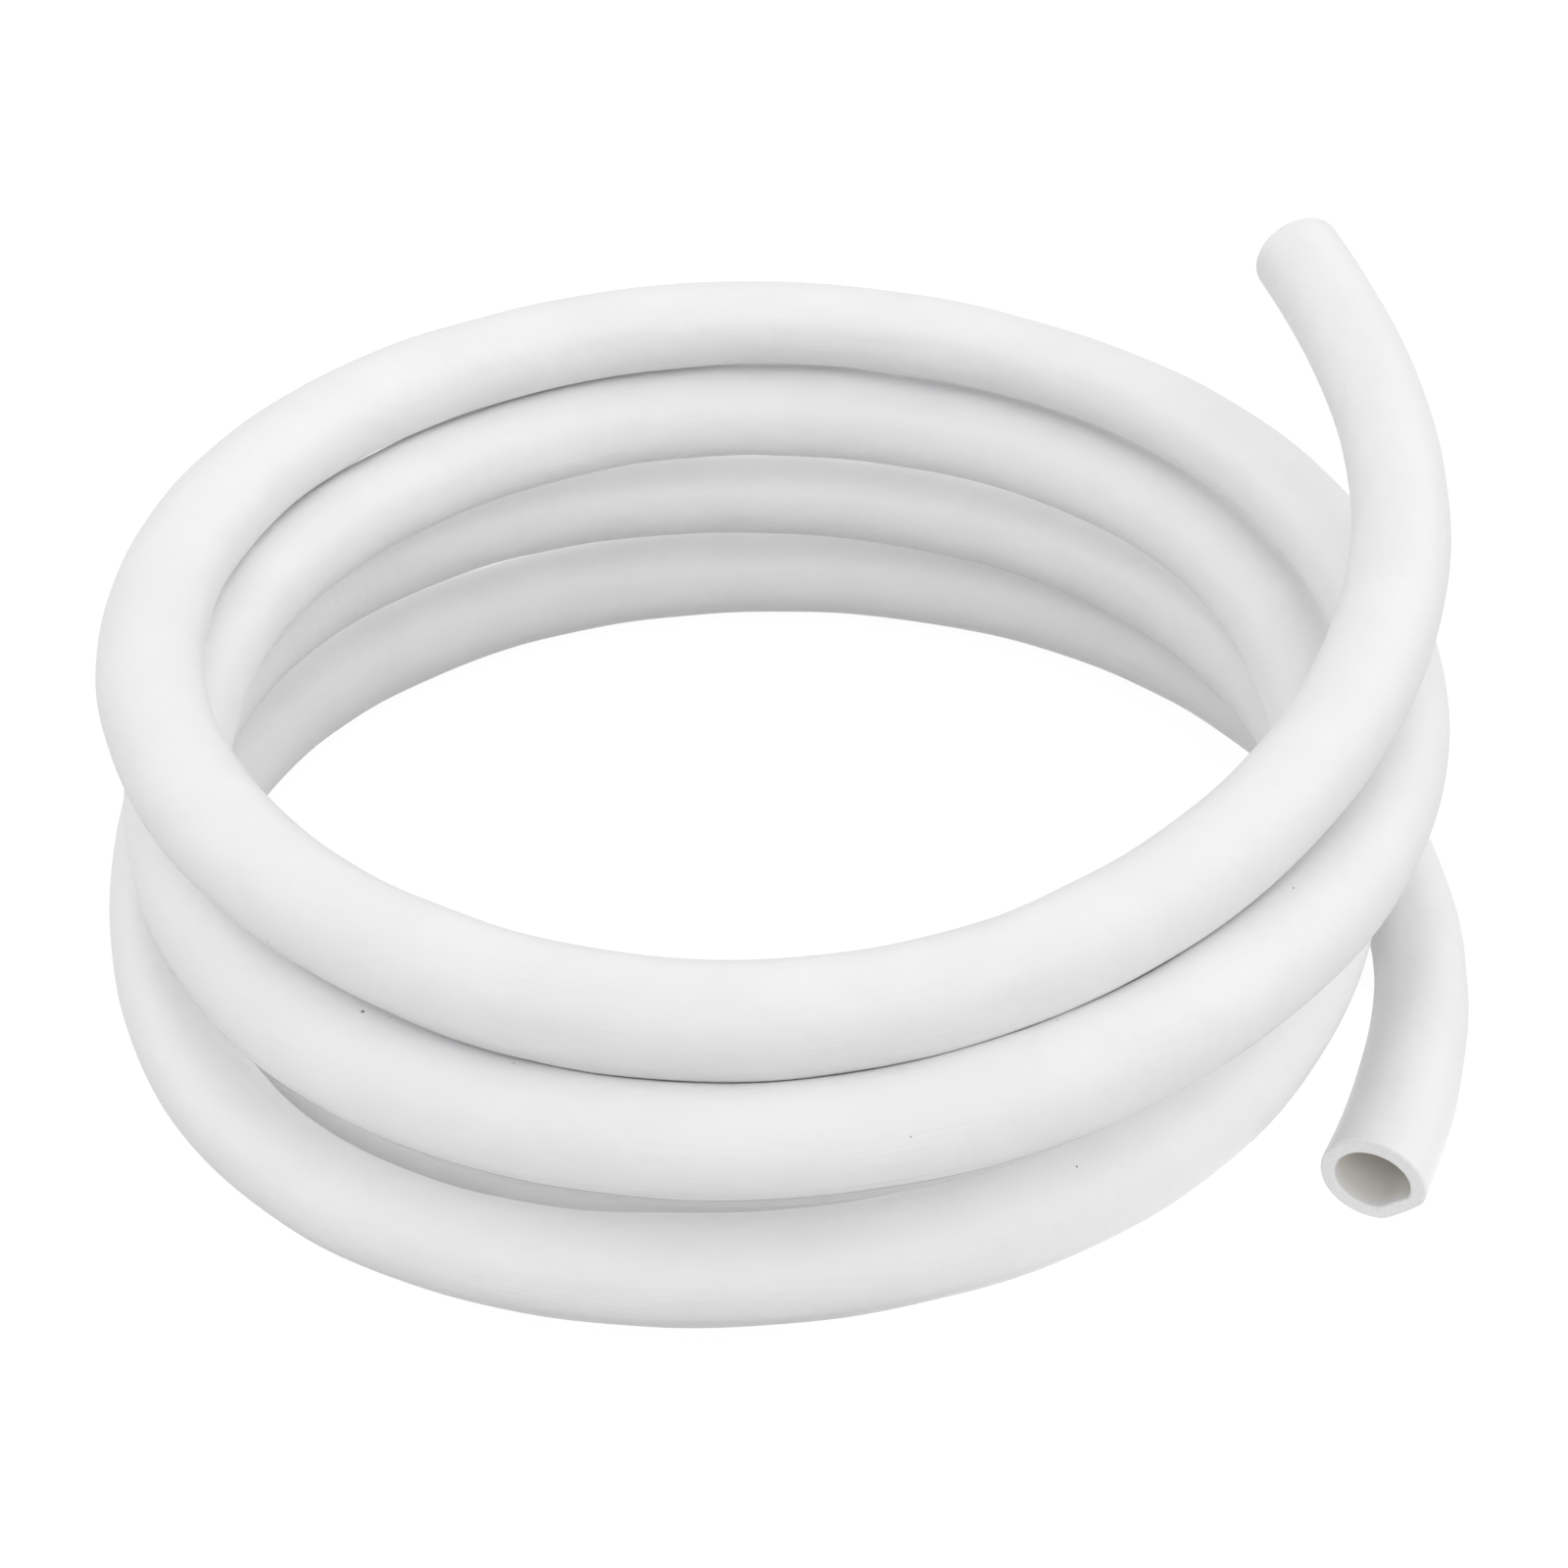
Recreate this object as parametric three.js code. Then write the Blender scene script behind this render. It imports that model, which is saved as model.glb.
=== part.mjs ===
// A length of smooth white pool hose, lying in a loose coil with both ends cut square.
// Millimetres, +Z up, -Y to the front. The coil stands on z = 0.
import * as THREE from 'three';

// Driving dimensions.
const OUTER_DIAMETER = 19;
const BORE_DIAMETER = 13;
const SECTION_SIDES = 12;
const SEAM = 0.3; // between two neighbouring stretches of the one hose
const STEP = 18; // degrees of turn between two rings of the tube, and half that on the free ends

// The coil's axis, seen from above, measured from the middle of the whole lay.
const COIL_AXIS = new THREE.Vector2(-7, -7.25);

// Angles are in degrees about the coil's axis, from +X, and fall as the hose winds down clockwise.
const UPPER_CUT = 36;
const LOWER_CUT = -1475.5;
const FIRST_STATION = 90;
const STATION_STEP = 45;
const REST = OUTER_DIAMETER / 2; // height of the centreline where the hose lies on the ground

// Where the centreline passes, every eighth of a turn: [distance from the axis, height].
const LAY = [
  // The free upper end, rising past the back, and the right side that it comes from.
  [185.5, 157.5], [140.5, 122.5], [121, 94.5], [107, 73.5],
  // First turn: front, left, back and right.
  [105.5, 66.5], [106, 66.5], [114.5, 71.5], [123, 74.5], [123, 78], [124.5, 74], [123, 66], [120, 58.5],
  // Second turn.
  [117, 49.5], [113, 46], [110.5, 52], [115, 56.5], [120.5, 58], [122, 53], [112.5, 42], [114.5, 26],
  // Third turn, leaning outside the lowest one at the front.
  [113.5, 18], [120.5, 19.5], [116.5, 30.5], [125, 33.5], [126.5, 33], [125.5, 29], [114.5, 21.5],
  [97.5, REST],
  // Fourth turn, flat on the ground.
  [91, REST], [96, REST], [115.5, REST], [127, REST], [132, REST], [133.5, REST], [131.5, REST],
  // The free lower end, running off to the front.
  [142, REST], [188.5, REST],
];

// Each stretch of the hose, between two angles.
const STRETCHES = {
  hose_upper_end: [UPPER_CUT, 0],
  hose_turn_1: [0, -360],
  hose_turn_2: [-360, -720],
  hose_turn_3: [-720, -1080],
  hose_turn_4: [-1080, -1440],
  hose_lower_end: [-1440, LOWER_CUT],
};

const radians = THREE.MathUtils.degToRad;

// A smooth value between the second and third of four evenly spaced ones.
function between(a, b, c, d, t) {
  const slope = (c - a) / 2;
  const nextSlope = (d - b) / 2;
  const rise = c - b;
  return b + slope * t + (3 * rise - 2 * slope - nextSlope) * t ** 2 + (slope + nextSlope - 2 * rise) * t ** 3;
}

// A point of the centreline at an angle about the coil's axis.
function centreline(angle) {
  const place = (FIRST_STATION - angle) / STATION_STEP;
  const station = Math.floor(place);
  const around = LAY.slice(station - 1, station + 3);
  const [radius, height] = [0, 1].map((k) => between(...around.map((s) => s[k]), place - station));
  return new THREE.Vector3(
    COIL_AXIS.x + radius * Math.cos(radians(angle)),
    COIL_AXIS.y + radius * Math.sin(radians(angle)),
    Math.max(height, REST),
  );
}

// A stretch of the centreline. Its steps are even in angle, and its section stays level.
class Stretch extends THREE.Curve {
  constructor(from, to) {
    super();
    this.from = from;
    this.to = to;
  }

  getPoint(t) {
    return centreline(THREE.MathUtils.lerp(this.from, this.to, t));
  }

  getUtoTmapping(u) {
    return u;
  }

  getTangent(t) {
    const angle = THREE.MathUtils.lerp(this.from, this.to, t);
    return centreline(angle - 0.5).sub(centreline(angle + 0.5)).normalize();
  }

  computeFrenetFrames(segments) {
    const up = new THREE.Vector3(0, 0, 1);
    const tangents = Array.from({ length: segments + 1 }, (_, i) => this.getTangent(i / segments));
    const normals = tangents.map((tangent) => new THREE.Vector3().crossVectors(up, tangent).normalize());
    const binormals = tangents.map((tangent, i) => new THREE.Vector3().crossVectors(tangent, normals[i]));
    return { tangents, normals, binormals };
  }
}

function ring(diameter) {
  return Array.from({ length: SECTION_SIDES }, (_, i) => {
    const angle = (2 * Math.PI * i) / SECTION_SIDES;
    return new THREE.Vector2(Math.cos(angle), Math.sin(angle)).multiplyScalar(diameter / 2);
  });
}

function wallSection() {
  const section = new THREE.Shape(ring(OUTER_DIAMETER));
  section.holes.push(new THREE.Path(ring(BORE_DIAMETER)));
  return section;
}

// The angle that half a seam takes at the coil's middle radius.
function halfSeamAngle(angle) {
  const point = centreline(angle);
  const radius = Math.hypot(point.x - COIL_AXIS.x, point.y - COIL_AXIS.y);
  return THREE.MathUtils.radToDeg(SEAM / 2 / radius);
}

function hoseStretch(name, [from, to]) {
  const start = from === UPPER_CUT ? from : from - halfSeamAngle(from);
  const end = to === LOWER_CUT ? to : to + halfSeamAngle(to);
  const step = from === UPPER_CUT || to === LOWER_CUT ? STEP / 2 : STEP;
  const geometry = new THREE.ExtrudeGeometry(wallSection(), {
    steps: Math.round((from - to) / step),
    extrudePath: new Stretch(start, end),
  });
  const vinyl = new THREE.MeshStandardMaterial({ name: 'white_vinyl', color: 0xf1f2f3, roughness: 0.45 });
  const mesh = new THREE.Mesh(geometry, vinyl);
  mesh.name = name;
  return mesh;
}

const hose = new THREE.Group();
hose.name = 'pool_hose';
for (const [name, angles] of Object.entries(STRETCHES)) {
  hose.add(hoseStretch(name, angles));
}

export default hose;
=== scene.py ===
"""A length of smooth white pool hose, lying in a loose coil. Metres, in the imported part's frame."""

import math

import bpy
import numpy as np
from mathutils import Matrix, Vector


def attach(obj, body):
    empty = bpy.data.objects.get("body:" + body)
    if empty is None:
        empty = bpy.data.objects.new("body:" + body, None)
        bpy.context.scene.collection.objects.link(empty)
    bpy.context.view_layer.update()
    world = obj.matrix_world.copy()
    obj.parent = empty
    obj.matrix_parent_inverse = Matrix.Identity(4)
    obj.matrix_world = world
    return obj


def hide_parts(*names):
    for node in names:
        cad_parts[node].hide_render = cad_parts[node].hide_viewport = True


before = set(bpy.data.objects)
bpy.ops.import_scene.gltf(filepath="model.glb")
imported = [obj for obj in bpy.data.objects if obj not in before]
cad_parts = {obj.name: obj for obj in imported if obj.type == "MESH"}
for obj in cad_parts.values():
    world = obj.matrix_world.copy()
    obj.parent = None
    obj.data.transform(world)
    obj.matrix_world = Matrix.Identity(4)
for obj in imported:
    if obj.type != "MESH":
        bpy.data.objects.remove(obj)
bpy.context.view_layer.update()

OUTER_DIAMETER = 0.019
BORE_DIAMETER = 0.013
RADIUS = OUTER_DIAMETER / 2
WALL = (OUTER_DIAMETER - BORE_DIAMETER) / 2

# The route, as the CAD lays it.
COIL_AXIS = np.array([-0.007, -0.00725])
UPPER_CUT = 36.0
LOWER_CUT = -1475.5
FIRST_STATION = 90.0
STATION_STEP = 45.0
REST = RADIUS  # height of the centreline where the hose lies on the ground
TIP_SET = 0.0013  # how far the soft lower tip is bent outward
TIP_TURN = 30  # degrees of turn over which it bends

# Where the centreline passes, every eighth of a turn: (distance from the axis, height).
LAY = [
    # The free upper end, rising past the back, and the right side that it comes from.
    (0.1855, 0.1575), (0.1405, 0.1225), (0.121, 0.0945), (0.107, 0.0735),
    # First turn: front, left, back and right.
    (0.1055, 0.0665), (0.106, 0.0665), (0.1145, 0.0715), (0.123, 0.0745), (0.123, 0.078),
    (0.1245, 0.074), (0.123, 0.066), (0.12, 0.0585),
    # Second turn.
    (0.117, 0.0495), (0.113, 0.046), (0.1105, 0.052), (0.115, 0.0565), (0.1205, 0.058),
    (0.122, 0.053), (0.1125, 0.042), (0.1145, 0.026),
    # Third turn, leaning outside the lowest one at the front.
    (0.1135, 0.018), (0.1205, 0.0195), (0.1165, 0.0305), (0.125, 0.0335), (0.1265, 0.033),
    (0.1255, 0.029), (0.1145, 0.0215), (0.0975, REST),
    # Fourth turn, flat on the ground.
    (0.091, REST), (0.096, REST), (0.1155, REST), (0.127, REST), (0.132, REST),
    (0.1335, REST), (0.1315, REST),
    # The free lower end, running off to the front.
    (0.142, REST), (0.1885, REST),
]

# How the soft wall is out of round: (angle, how much wider than round).
OVAL = [
    (90, 0.95), (25, 0.94), (-40, 1.04), (-104, 1.13), (-169, 1.07), (-234, 1.0), (-299, 0.89),
    (-364, 0.95), (-428, 1.17), (-493, 1.16), (-558, 0.98), (-623, 1.07), (-688, 1.05),
    (-752, 1.07), (-817, 1.07), (-882, 0.89), (-947, 0.89), (-1012, 0.95), (-1080, 0.92),
    (-1206, 0.98), (-1336, 1.03), (-1400, 1.0), (-1450, 0.94), (-1476, 1.07),
]
OVAL_LEAN = 1.43  # slope of the wide way at the front and the back of the coil, level at its sides
LEAN_FADE = 70  # degrees of turn over which the wide way comes level towards the lower cut

# The flat that runs along the hose, low on the outside of the coil.
FACET_MIDDLE = math.radians(-44)
FACET = [  # (angle, half of the flat in degrees, softness of its edges)
    (36, 22, 0.0009), (-112, 23, 0.0009), (-125, 28, 0.0002), (-170, 29, 0.0002), (-200, 25, 0.0007),
    (-390, 25, 0.0003), (-430, 27, 0.0001), (-465, 30, 0.0001), (-500, 32, 0.0001), (-570, 31, 0.0001),
    (-640, 24, 0.0005), (-760, 22, 0.0012), (-930, 22, 0.0012), (-1400, 26, 0.0008), (-1530, 26, 0.0011),
]

WAVES = [  # (waves along, waves around, where it starts, height)
    (61, 1, 0.3, 7e-5), (97, 2, 4.0, 6e-5), (150, 1, 1.2, 4e-5), (211, -2, 2.2, 4e-5), (263, 3, 5.1, 3e-5),
]
DENTS = [  # (angle, how far around in degrees, length, width, depth)
    (-107, 8, 0.004, 0.0022, 0.00024), (-104.5, 2, 0.0035, 0.002, -0.00018),
    (-823.4, 12, 0.004, 0.0022, 0.00024), (-821.5, 6, 0.0035, 0.002, -0.00015),
]

RING_STEP = 1.5  # degrees of turn
ON_FLAT = np.array([-1, -0.965, -0.92, -0.75, -0.4, 0, 0.4, 0.75, 0.92, 0.965, 1])
OFF_FLAT = np.concatenate([[0.0025, 0.007, 0.015], np.linspace(0.03, 0.97, 64), [0.985, 0.993, 0.9975]])
CUT_ROUNDING = 0.0009
BORE_ROUNDING = 0.0005
CONTACT_GAP = 0.00003
CONTACT_REACH = 1.6 * OUTER_DIAMETER  # centrelines farther apart than this don't press on each other
CRISP_EDGE = 0.0005  # an edge of the flat softer than about this has no grooves beside it

# Colours of the vinyl and of the dirt on it, with the painted shade of the grooves and the painted warm
# bounce light of the bore.
VINYL_CLEAN = (0.874, 0.874, 0.880)
VINYL_DULL = (0.850, 0.850, 0.858)
VINYL_RUBBED = (0.8, 0.8, 0.8)
# painted shade: the grooves beside the flat are coloured dark, as shade in them would look
GROOVE_PAINTED_SHADE = (0.42, 0.42, 0.43)
# painted warm bounce light and shade: the bore is coloured darker and warmer than the outside
BORE_PAINTED_BOUNCE_TINT = (0.84, 0.815, 0.775)
VINYL_CUT = (0.76, 0.758, 0.75)
DIRT = (0.05, 0.045, 0.04)
SPECKS = [  # (angle, how far around in degrees, radius)
    (-486.7, 97, 0.00034), (-484.2, 109, 0.00016), (-780.3, 73, 0.00018), (-396.8, 98, 0.00018),
    (-136.1, -8, 0.00016), (-118.7, -28, 0.00019), (-470.5, 103, 0.00018), (-422.7, 109, 0.00015),
    (-437.3, 32, 0.00013),
]

# the depth also sets how dark the painted shade in each groove is
FLAT_GROOVES = [  # beside the upper edge of the flat: (how far off, width, depth)
    (0.0, 0.00022, 1.0), (0.0007, 0.00012, 0.5), (0.0013, 0.0001, 0.35), (-0.0006, 0.0001, 0.4),
]
MOTTLE_HEIGHT = 0.0009
DIE_LINE_HEIGHT = 0.00007
GROOVE_DEPTH = 0.0001
GRAIN_HEIGHT = 0.000006
KNIFE_MARK_HEIGHT = 0.00003

CAMERA_LENS = 79.85
CAMERA_TILT = math.radians(34.976)
CAMERA_TARGET = Vector((-0.00099, -0.00725, 0.0412))
CAMERA_DISTANCE = 0.6794

SOFT_BOXES = [  # (where it stands, how narrow, how bright)
    ((0, -0.87, 0.49), 6.0, 2.05), ((0.866, 0, 0.5), 4.0, 1.85), ((-0.866, 0, 0.5), 4.0, 1.55),
    ((0, 1, 0), 1.0, 0.82),
]
LOWER_END_POOL = (0.085, -0.1, 0)  # the ground is brighter here, beside the lower end
GROUND_SIZE = 6.0  # from the middle to each side


def between(a, b, c, d, t):
    """A smooth value between the second and third of four evenly spaced ones."""
    slope = (c - a) / 2
    next_slope = (d - b) / 2
    rise = c - b
    return (b + slope * t + (3 * rise - 2 * slope - next_slope) * t**2
            + (slope + next_slope - 2 * rise) * t**3)


def centreline(angle):
    """Points of the centreline at angles about the coil's axis, in degrees."""
    place = (FIRST_STATION - angle) / STATION_STEP
    station = np.floor(place).astype(int)
    lay = np.array(LAY)
    around = [lay[station + k] for k in (-1, 0, 1, 2)]
    radius, height = between(*around, (place - station)[:, None]).T
    radius = radius + TIP_SET * np.clip((LOWER_CUT + TIP_TURN - angle) / TIP_TURN, 0, 1)**2
    turn = np.radians(angle)
    return np.stack([
        COIL_AXIS[0] + radius * np.cos(turn),
        COIL_AXIS[1] + radius * np.sin(turn),
        np.maximum(height, REST),
    ], 1)


def unit(v):
    return v / np.linalg.norm(v, axis=-1, keepdims=True)


def frames(angle):
    """Along, outward and upward directions at each angle. The section stays level, as in the CAD."""
    along = unit(centreline(angle - 0.5) - centreline(angle + 0.5))
    outward = unit(np.cross([0.0, 0.0, 1.0], along))
    return along, outward, np.cross(along, outward)


def facet_size(angle):
    """Half of the flat, in radians, and the softness of its edges at each angle."""
    places, halves, edges = np.array(FACET)[::-1].T
    return np.radians(np.interp(angle, places, halves))[:, None], np.interp(angle, places, edges)[:, None]


def places_around(angle):
    """Where the points of each ring stand, close together at the edges of the flat."""
    half, _ = facet_size(angle)
    return FACET_MIDDLE + np.hstack([half * ON_FLAT, half + (2 * math.pi - 2 * half) * OFF_FLAT])


def facet(shape, angle, around):
    """Cuts the flat into radii shape, one row for each angle and one column for each place around."""
    half, edge = facet_size(angle)
    flat = RADIUS * np.cos(half) / np.maximum(np.cos(around - FACET_MIDDLE), 0.2)
    mix = np.clip(0.5 + 0.5 * (flat - shape) / edge, 0, 1)
    return flat * (1 - mix) + shape * mix - edge * mix * (1 - mix)


def waviness(around, distance):
    """How far the soft wall stands off a true tube."""
    return sum(a * np.sin(k * distance + m * around + c) for k, m, c, a in WAVES)


def section(angle, distance, around):
    """Offsets (outward, upward) of a ring of points at each angle."""
    shape = facet(np.full_like(around, RADIUS), angle, around)
    shape += waviness(around, distance[:, None])
    for place, turned, length, width, depth in DENTS:
        off = (np.mod(around - math.radians(turned) + math.pi, 2 * math.pi) - math.pi) * RADIUS
        middle = np.interp(-place, -angle, distance)
        shape -= depth * np.exp(-((distance[:, None] - middle) / length)**2 - (off / width)**2)
    return ovalised(shape * np.cos(around), shape * np.sin(around), angle)


def ovalised(x, y, angle):
    """Offsets (outward, upward) of each ring, drawn out along its wide way and drawn in across it."""
    places, widths = np.array(OVAL)[::-1].T
    wide = np.interp(angle, places, widths)[:, None]
    fade = np.clip((angle - LOWER_CUT) / LEAN_FADE, 0, 1)
    lean = np.arctan(OVAL_LEAN * np.sin(np.radians(angle)) * fade)[:, None]
    long = x * np.cos(lean) + y * np.sin(lean)
    short = y * np.cos(lean) - x * np.sin(lean)
    long, short = long * wide, short / wide
    return long * np.cos(lean) - short * np.sin(lean), long * np.sin(lean) + short * np.cos(lean)


def pressed(rings, middles, angle):
    """Rings of points, flattened where two turns of the hose press on each other."""
    made = rings.copy()
    for i, ring in enumerate(rings):
        near = np.abs(angle - angle[i]) > 180
        near &= np.linalg.norm(middles - middles[i], axis=1) < CONTACT_REACH
        others = np.flatnonzero(near)
        if not len(others):
            continue
        nearest = others[np.linalg.norm(ring[:, None] - middles[others], axis=2).argmin(1)]
        for j in np.unique(nearest):
            apart = np.linalg.norm(middles[j] - middles[i])
            normal = (middles[j] - middles[i]) / apart
            reach = ((ring - middles[i]) @ normal).max()
            other_reach = ((middles[j] - rings[j]) @ normal).max()
            limit = apart * reach / (reach + other_reach) - CONTACT_GAP
            mine = nearest == j
            beyond = np.maximum((made[i, mine] - middles[i]) @ normal - limit, 0)
            made[i, mine] -= beyond[:, None] * normal
    return made


def ring_angles():
    """Angles of the rings, evenly spaced from cut to cut."""
    count = round((UPPER_CUT - LOWER_CUT) / RING_STEP)
    return np.linspace(UPPER_CUT, LOWER_CUT, count + 1)


def rim(ring, inward, along):
    """Loops from the outside to the bore over a cut that looks along, and how much of each is cut face."""
    turns = np.linspace(0, math.pi / 2, 6)
    face = np.linspace(CUT_ROUNDING, WALL - BORE_ROUNDING, 5)[1:-1]
    deep = np.concatenate([
        CUT_ROUNDING * (1 - np.cos(turns)), face, WALL - BORE_ROUNDING * (1 - np.sin(turns)),
    ])
    back = np.concatenate([
        CUT_ROUNDING * (1 - np.sin(turns)), face * 0, BORE_ROUNDING * (1 - np.cos(turns)),
    ])
    loops = ring + inward * deep[:, None, None] - along * back[:, None, None]
    is_cut = (deep > 0.3 * CUT_ROUNDING) & (deep < WALL - 0.2 * BORE_ROUNDING)
    return loops, is_cut.astype(float)


def joined(outside, end, inside, start):
    """One run of rows: down the outside, over the lower cut, up the bore and over the upper cut."""
    return np.concatenate([outside[1:-1], end, inside[1:-1][::-1], start[::-1]])


def skin_marks(angle, around, distance, end_cut, start_cut):
    """What each point of the skin is: where it stands, cut face or bore, and how near the flat."""
    zero = np.zeros(len(angle))
    end_around = around[-1:].repeat(len(end_cut), 0)
    start_around = around[:1].repeat(len(start_cut), 0)
    turned = joined(around, end_around, around, start_around)
    place = joined(distance, end_cut * 0 + distance[-1], distance, start_cut * 0)
    half, edge = facet_size(angle)
    beside = (around - FACET_MIDDLE - half) * RADIUS
    crisp = np.clip(1.3 - edge[:, 0] / CRISP_EDGE, 0, 1)
    rows = {
        "crisp": joined(crisp, end_cut * 0, zero, start_cut * 0),
        "cut": joined(zero, end_cut, zero, start_cut),
        "bore": joined(zero, end_cut * 0, zero + 1, start_cut * 0),
    }
    marks = {name: np.broadcast_to(values[:, None], turned.shape) for name, values in rows.items()}
    far = 1  # metres, for the bore and the cut faces, which have no grooves
    marks["beside"] = joined(beside, end_cut[:, None] * far + beside[-1:], beside + far,
                             start_cut[:, None] * far + beside[:1])
    along = np.broadcast_to(place[:, None], turned.shape)
    marks["place"] = np.stack([np.cos(turned), np.sin(turned), along], -1)
    return marks


def hose_mesh():
    """The whole hose as one closed skin: its loops, what each point is, and the centreline it follows."""
    angle = ring_angles()
    middles = centreline(angle)
    along, outward, upward = frames(angle)
    distance = np.concatenate([[0], np.cumsum(np.linalg.norm(np.diff(middles, axis=0), axis=1))])
    around = places_around(angle)
    x, y = section(angle, distance, around)
    rings = middles[:, None] + x[:, :, None] * outward[:, None] + y[:, :, None] * upward[:, None]
    outside = pressed(rings, middles, angle)
    outside[..., 2] = np.maximum(outside[..., 2], 0)  # flat where it lies on the ground
    inward = unit(middles[:, None] - outside)
    end, end_cut = rim(outside[-1], inward[-1], along[-1])
    start, start_cut = rim(outside[0], inward[0], -along[0])
    loops = joined(outside, end, outside + inward * WALL, start)
    return loops, skin_marks(angle, around, distance, end_cut, start_cut), middles, distance


def hose_object():
    loops, marks, middles, distance = hose_mesh()
    rows, sides = loops.shape[:2]
    row, side = np.meshgrid(np.arange(rows), np.arange(sides), indexing="ij")
    next_row, next_side = (row + 1) % rows, (side + 1) % sides
    faces = np.stack([
        row * sides + side, row * sides + next_side,
        next_row * sides + next_side, next_row * sides + side,
    ], -1).reshape(-1, 4)
    mesh = bpy.data.meshes.new("hose")
    mesh.from_pydata(loops.reshape(-1, 3).tolist(), [], faces.tolist())
    mesh.shade_smooth()
    for name, values in marks.items():
        kind, field = ("FLOAT_VECTOR", "vector") if values.ndim == 3 else ("FLOAT", "value")
        mesh.attributes.new(name, kind, "POINT").data.foreach_set(field, values.ravel().astype(np.float32))
    mesh.validate()
    hose = bpy.data.objects.new("hose", mesh)
    bpy.context.scene.collection.objects.link(hose)
    hose.data.materials.append(vinyl(distance))
    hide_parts("hose_upper_end", "hose_turn_1", "hose_turn_2", "hose_turn_3", "hose_turn_4",
                "hose_lower_end")
    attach(hose, "root")
    return hose


class Nodes:
    """Short ways to add the nodes of one material."""

    def __init__(self, tree):
        self.tree = tree

    def add(self, kind, inputs, **settings):
        node = self.tree.nodes.new("ShaderNode" + kind)
        for name, value in settings.items():
            setattr(node, name, value)
        for key, value in inputs.items():
            if isinstance(value, bpy.types.NodeSocket):
                self.tree.links.new(value, node.inputs[key])
            else:
                node.inputs[key].default_value = value
        return node

    def math(self, operation, *values):
        return self.add("Math", dict(enumerate(values)), operation=operation).outputs[0]

    def stretched(self, vector, scale):
        """Vector, multiplied by a scale for each axis."""
        return self.add("VectorMath", {0: vector, 1: scale}, operation="MULTIPLY").outputs[0]

    def noise(self, vector, scale, detail=3.0, roughness=0.55):
        inputs = {"Vector": vector, "Scale": scale, "Detail": detail, "Roughness": roughness}
        return self.add("TexNoise", inputs).outputs["Fac"]

    def ramp(self, value, low, high, at_low=0.0, at_high=1.0):
        """Value turned smoothly into at_low below low and at_high above high."""
        inputs = {0: value, 1: low, 2: high, 3: at_low, 4: at_high}
        return self.add("MapRange", inputs, interpolation_type="SMOOTHSTEP").outputs[0]

    def mix(self, share, first, second):
        """A blend of two colours."""
        first, second = [c if isinstance(c, bpy.types.NodeSocket) else (*c, 1) for c in (first, second)]
        return self.add("Mix", {"Factor": share, 6: first, 7: second}, data_type="RGBA").outputs[2]

    def attribute(self, name, output="Fac"):
        return self.add("Attribute", {}, attribute_name=name).outputs[output]

    def bump(self, height, depth, normal=None):
        inputs = {"Height": height, "Distance": depth, "Strength": 1.0}
        if normal is not None:
            inputs["Normal"] = normal
        return self.add("Bump", inputs).outputs[0]


def speck_darkness(nodes, skin, distance):
    """One on each grain of dirt in SPECKS, which has its own place on the hose, and none elsewhere."""
    dark = 0.0
    angles = ring_angles()
    for angle, turned, size in SPECKS:
        turn = math.radians(turned)
        at = (RADIUS * math.cos(turn), RADIUS * math.sin(turn), np.interp(-angle, -angles, distance))
        apart = nodes.add("VectorMath", {0: skin, 1: at}, operation="DISTANCE").outputs["Value"]
        dark = nodes.math("MAXIMUM", nodes.ramp(apart, size * 0.6, size * 1.2, 1.0, 0.0), dark)
    return dark


def stray_specks(nodes, skin):
    """Sparse faint grains elsewhere."""
    cell = nodes.add("TexVoronoi", {"Vector": skin, "Scale": 90.0})
    kept = nodes.math("GREATER_THAN", nodes.add("SeparateColor", {0: cell.outputs["Color"]}).outputs[0], 0.8)
    near = nodes.ramp(cell.outputs["Distance"], 0.008, 0.022, 1.0, 0.0)
    return nodes.math("MULTIPLY", nodes.math("MULTIPLY", near, kept), 0.35)


def die_lines(nodes, skin):
    """Very fine lines that run along the hose from the die, strong in some places only."""
    lines = nodes.noise(nodes.stretched(skin, (1, 1, 0.02)), 1900.0, 2.0)
    where = nodes.ramp(nodes.noise(nodes.stretched(skin, (1, 1, 0.25)), 190.0, 2.0), 0.42, 0.68)
    return nodes.math("MULTIPLY", lines, nodes.ramp(where, 0.0, 1.0, 0.25, 1.0))


def flat_lines(nodes, skin):
    """A few thin broken grooves beside the upper edge of the flat, where that edge is sharp; the mask shapes
    them and also paints shade into them.
    """
    beside = nodes.attribute("beside")
    crisp = nodes.attribute("crisp")
    wander = nodes.noise(nodes.stretched(skin, (0, 0, 1)), 60.0, 2.0)
    total = 0.0
    for offset, width, depth in FLAT_GROOVES:
        apart = nodes.math("ABSOLUTE", nodes.math("SUBTRACT", beside, offset))
        apart = nodes.math("MULTIPLY_ADD", wander, 0.00012, apart)
        total = nodes.math("ADD", nodes.ramp(apart, 0.00004, 0.00006 + width, depth, 0.0), total)
    broken = nodes.ramp(nodes.noise(nodes.stretched(skin, (40, 40, 1)), 35.0, 2.0), 0.3, 0.6, 0.3, 1.0)
    return nodes.math("MULTIPLY", nodes.math("MULTIPLY", total, broken), crisp)


def scuffs(nodes, skin):
    """Broken, nearly lengthwise rub marks in a few patches."""
    marks = nodes.ramp(nodes.noise(nodes.stretched(skin, (1, 1, 0.12)), 900.0, 4.0, 0.7), 0.6, 0.72)
    patches = nodes.ramp(nodes.noise(skin, 42.0, 2.0), 0.54, 0.66)
    return nodes.math("MULTIPLY", marks, patches)


def knife_marks(nodes, position):
    """Fine lines left across the cut faces by the knife."""
    return nodes.noise(nodes.stretched(position, (900, 900, 4500)), 1.0, 2.0)


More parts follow.
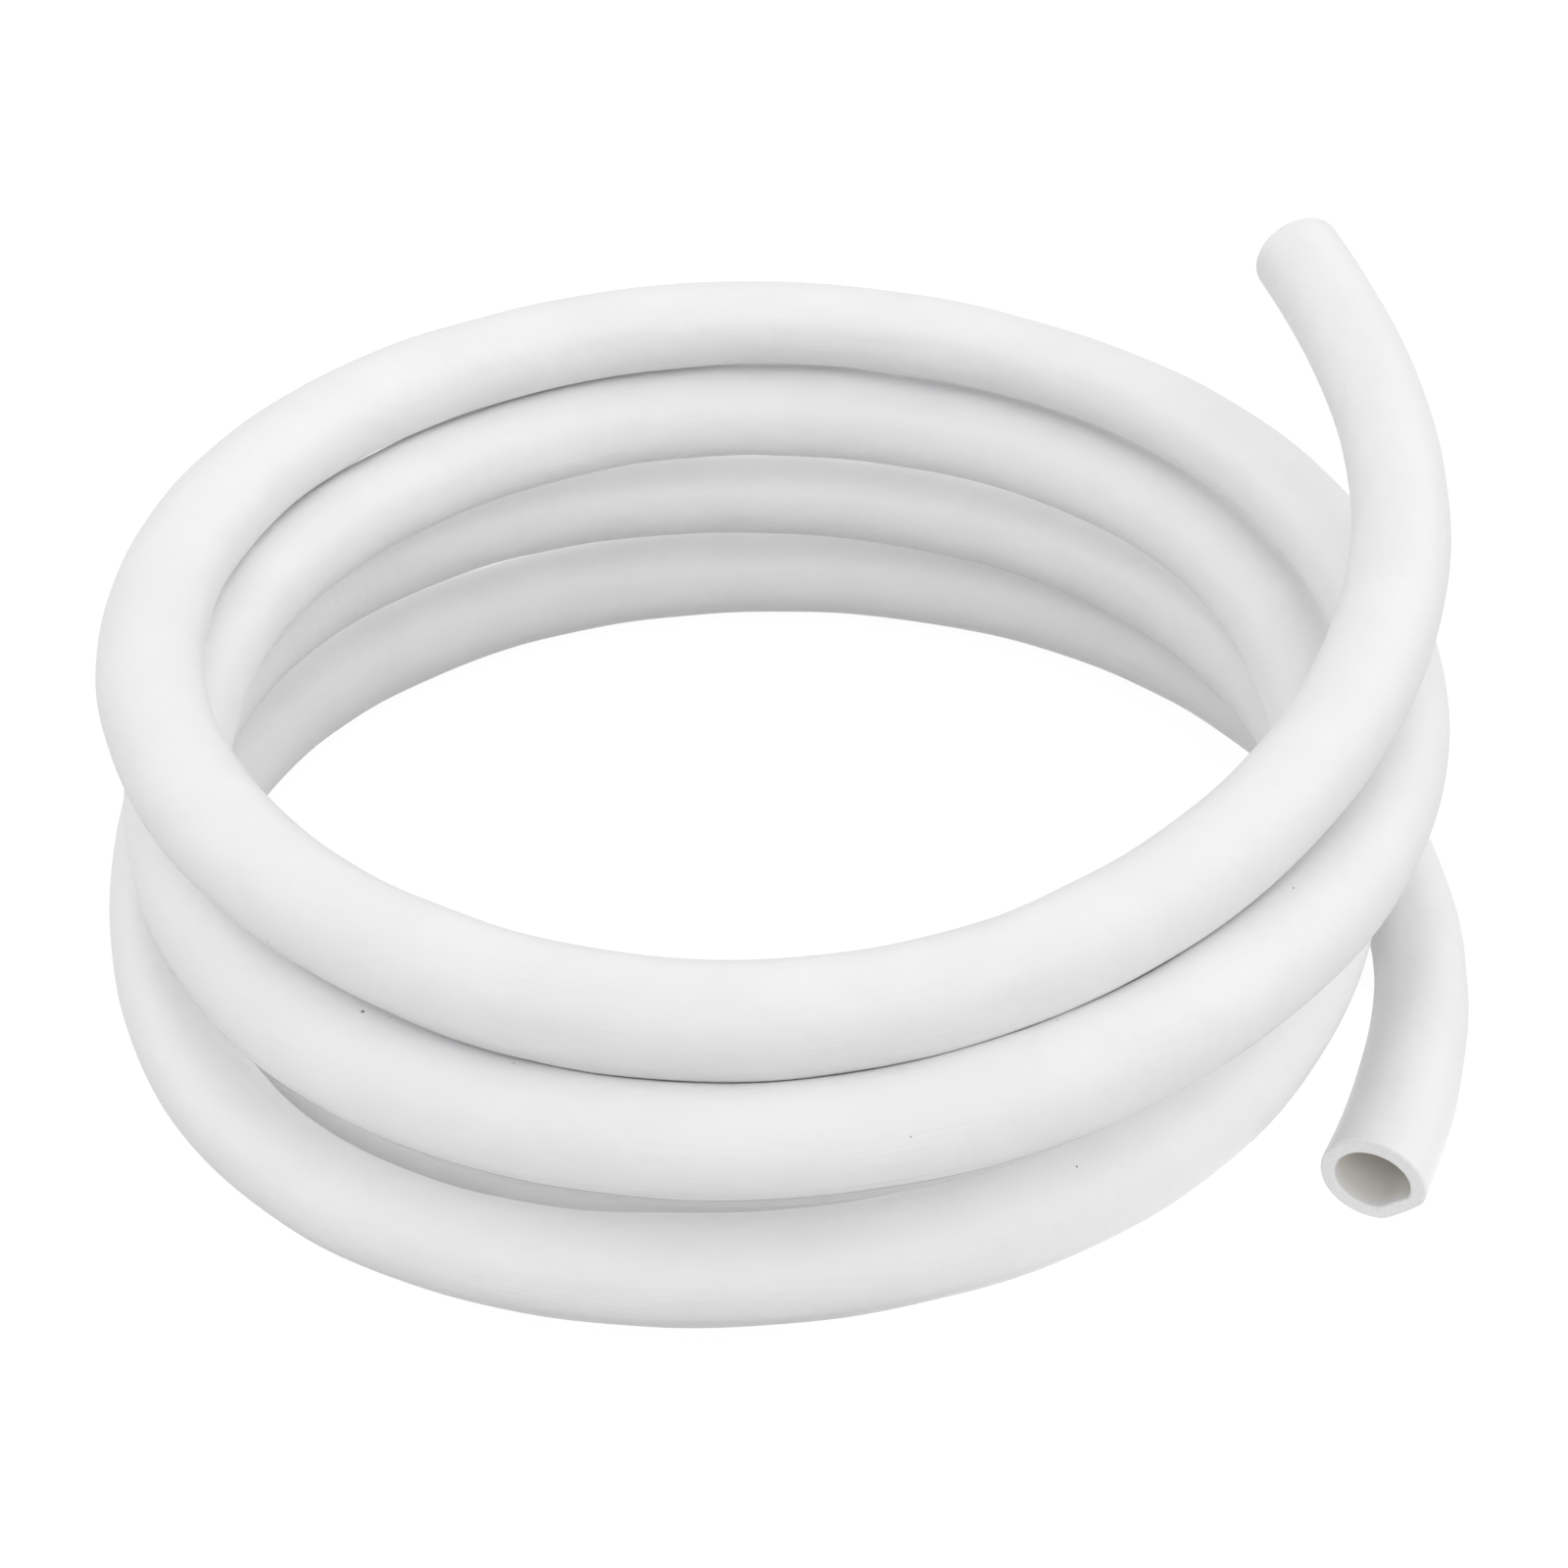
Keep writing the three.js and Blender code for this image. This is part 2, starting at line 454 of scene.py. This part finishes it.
def vinyl(distance):
    """Plain white soft vinyl: satin, faintly mottled, streaked and specked, with painted shade in the
    grooves beside the flat and a painted warm, darker bounce tint inside the bore.
    """
    material = bpy.data.materials.new("white_vinyl")
    material.use_nodes = True
    nodes = Nodes(material.node_tree)
    shader = material.node_tree.nodes["Principled BSDF"]
    place = nodes.attribute("place", "Vector")
    bore = nodes.attribute("bore")
    cut = nodes.attribute("cut")
    position = nodes.add("TexCoord", {}).outputs["Object"]
    skin = nodes.stretched(place, (RADIUS, RADIUS, 1))

    mottle = nodes.noise(skin, 55.0, 3.0)
    grain = nodes.noise(position, 1500.0, 2.0)
    lines = die_lines(nodes, skin)
    rubbed = scuffs(nodes, skin)
    grooves = flat_lines(nodes, skin)
    dirt = nodes.math("MAXIMUM", speck_darkness(nodes, skin, distance), stray_specks(nodes, skin))

    colour = nodes.mix(nodes.ramp(mottle, 0.3, 0.7), VINYL_DULL, VINYL_CLEAN)
    colour = nodes.mix(nodes.math("MULTIPLY", rubbed, 0.35), colour, VINYL_RUBBED)
    # painted shade: the grooves are darkened towards the painted shade colour
    colour = nodes.mix(nodes.math("MULTIPLY", grooves, 0.5), colour, GROOVE_PAINTED_SHADE)
    # painted warm bounce light and shade inside the bore
    colour = nodes.mix(bore, colour, BORE_PAINTED_BOUNCE_TINT)
    colour = nodes.mix(nodes.math("MULTIPLY", cut, nodes.ramp(grain, 0.3, 0.7, 0.2, 0.8)), colour, VINYL_CUT)
    colour = nodes.mix(nodes.math("MULTIPLY", dirt, 0.95), colour, DIRT)
    material.node_tree.links.new(colour, shader.inputs["Base Color"])

    rough = nodes.ramp(mottle, 0.25, 0.75, 0.36, 0.46)
    rough = nodes.math("MULTIPLY_ADD", rubbed, 0.15, rough)
    rough = nodes.math("MULTIPLY_ADD", nodes.math("MAXIMUM", cut, bore), 0.12, rough)
    material.node_tree.links.new(rough, shader.inputs["Roughness"])

    normal = nodes.bump(mottle, MOTTLE_HEIGHT)
    normal = nodes.bump(lines, DIE_LINE_HEIGHT, normal)
    normal = nodes.bump(grooves, -GROOVE_DEPTH, normal)
    normal = nodes.bump(grain, GRAIN_HEIGHT, normal)
    knife = nodes.math("MULTIPLY", knife_marks(nodes, position), cut)
    normal = nodes.bump(knife, KNIFE_MARK_HEIGHT, normal)
    material.node_tree.links.new(normal, shader.inputs["Normal"])
    return material


def camera():
    data = bpy.data.cameras.new("camera")
    data.lens = CAMERA_LENS
    data.sensor_width = 36
    made = bpy.data.objects.new("camera", data)
    bpy.context.scene.collection.objects.link(made)
    back = Vector((0, -math.cos(CAMERA_TILT), math.sin(CAMERA_TILT)))
    made.location = CAMERA_TARGET + back * CAMERA_DISTANCE
    made.rotation_euler = (math.pi / 2 - CAMERA_TILT, 0, 0)
    bpy.context.scene.camera = made


def soft_box(nodes, place, direction, power, strength):
    """Light from one side, strongest along direction and narrower the higher the power."""
    facing = nodes.add("VectorMath", {0: place, 1: direction}, operation="DOT_PRODUCT").outputs["Value"]
    narrowed = nodes.math("POWER", nodes.math("MAXIMUM", facing, 0.0), power)
    return nodes.math("MULTIPLY", narrowed, strength)


def sky():
    """Soft boxes: one in front, a wider one on each side, and a weak, very wide one at the back."""
    world = bpy.data.worlds.new("studio")
    bpy.context.scene.world = world
    world.use_nodes = True
    nodes = Nodes(world.node_tree)
    place = nodes.add("TexCoord", {}).outputs["Generated"]
    light = 0.0
    for direction, power, strength in SOFT_BOXES:
        light = nodes.math("ADD", soft_box(nodes, place, direction, power, strength), light)
    world.node_tree.links.new(light, world.node_tree.nodes["Background"].inputs["Color"])


def ground(name, height, grey, near_glow, far_glow):
    """A wide sheet that glows: near the object, farther off, and more beside the lower end."""
    corners = [(-1, -1), (1, -1), (1, 1), (-1, 1)]
    mesh = bpy.data.meshes.new(name)
    mesh.from_pydata([(x * GROUND_SIZE, y * GROUND_SIZE, height) for x, y in corners], [], [(0, 1, 2, 3)])
    material = bpy.data.materials.new(name)
    material.use_nodes = True
    nodes = Nodes(material.node_tree)
    shader = material.node_tree.nodes["Principled BSDF"]
    shader.inputs["Base Color"].default_value = (grey, grey, grey, 1)
    shader.inputs["Roughness"].default_value = 0.9
    shader.inputs["Specular IOR Level"].default_value = 0.0
    shader.inputs["Emission Color"].default_value = (1, 1, 1, 1)
    position = nodes.add("TexCoord", {}).outputs["Object"]
    apart = nodes.add("VectorMath", {0: position}, operation="LENGTH").outputs["Value"]
    glow = nodes.ramp(apart, 0.1, 0.5, near_glow, far_glow)
    beside = nodes.add("VectorMath", {0: position, 1: LOWER_END_POOL}, operation="DISTANCE").outputs["Value"]
    glow = nodes.math("ADD", glow, nodes.ramp(beside, 0.02, 0.09, near_glow, 0.0))
    material.node_tree.links.new(glow, shader.inputs["Emission Strength"])
    mesh.materials.append(material)
    sheet = bpy.data.objects.new(name, mesh)
    bpy.context.scene.collection.objects.link(sheet)
    return sheet


def floor():
    """A white floor to look at, over a greyer one that bounces less light onto the undersides."""
    white = ground("floor", 0.0, 0.12, 0.93, 0.93)
    white.visible_diffuse = white.visible_shadow = False
    grey = ground("floor_bounce", -0.0002, 0.08, 0.25, 0.0)
    grey.visible_camera = grey.visible_glossy = False


def studio():
    sky()
    floor()
    bpy.context.scene.view_settings.view_transform = "Standard"


camera()
hose_object()
studio()
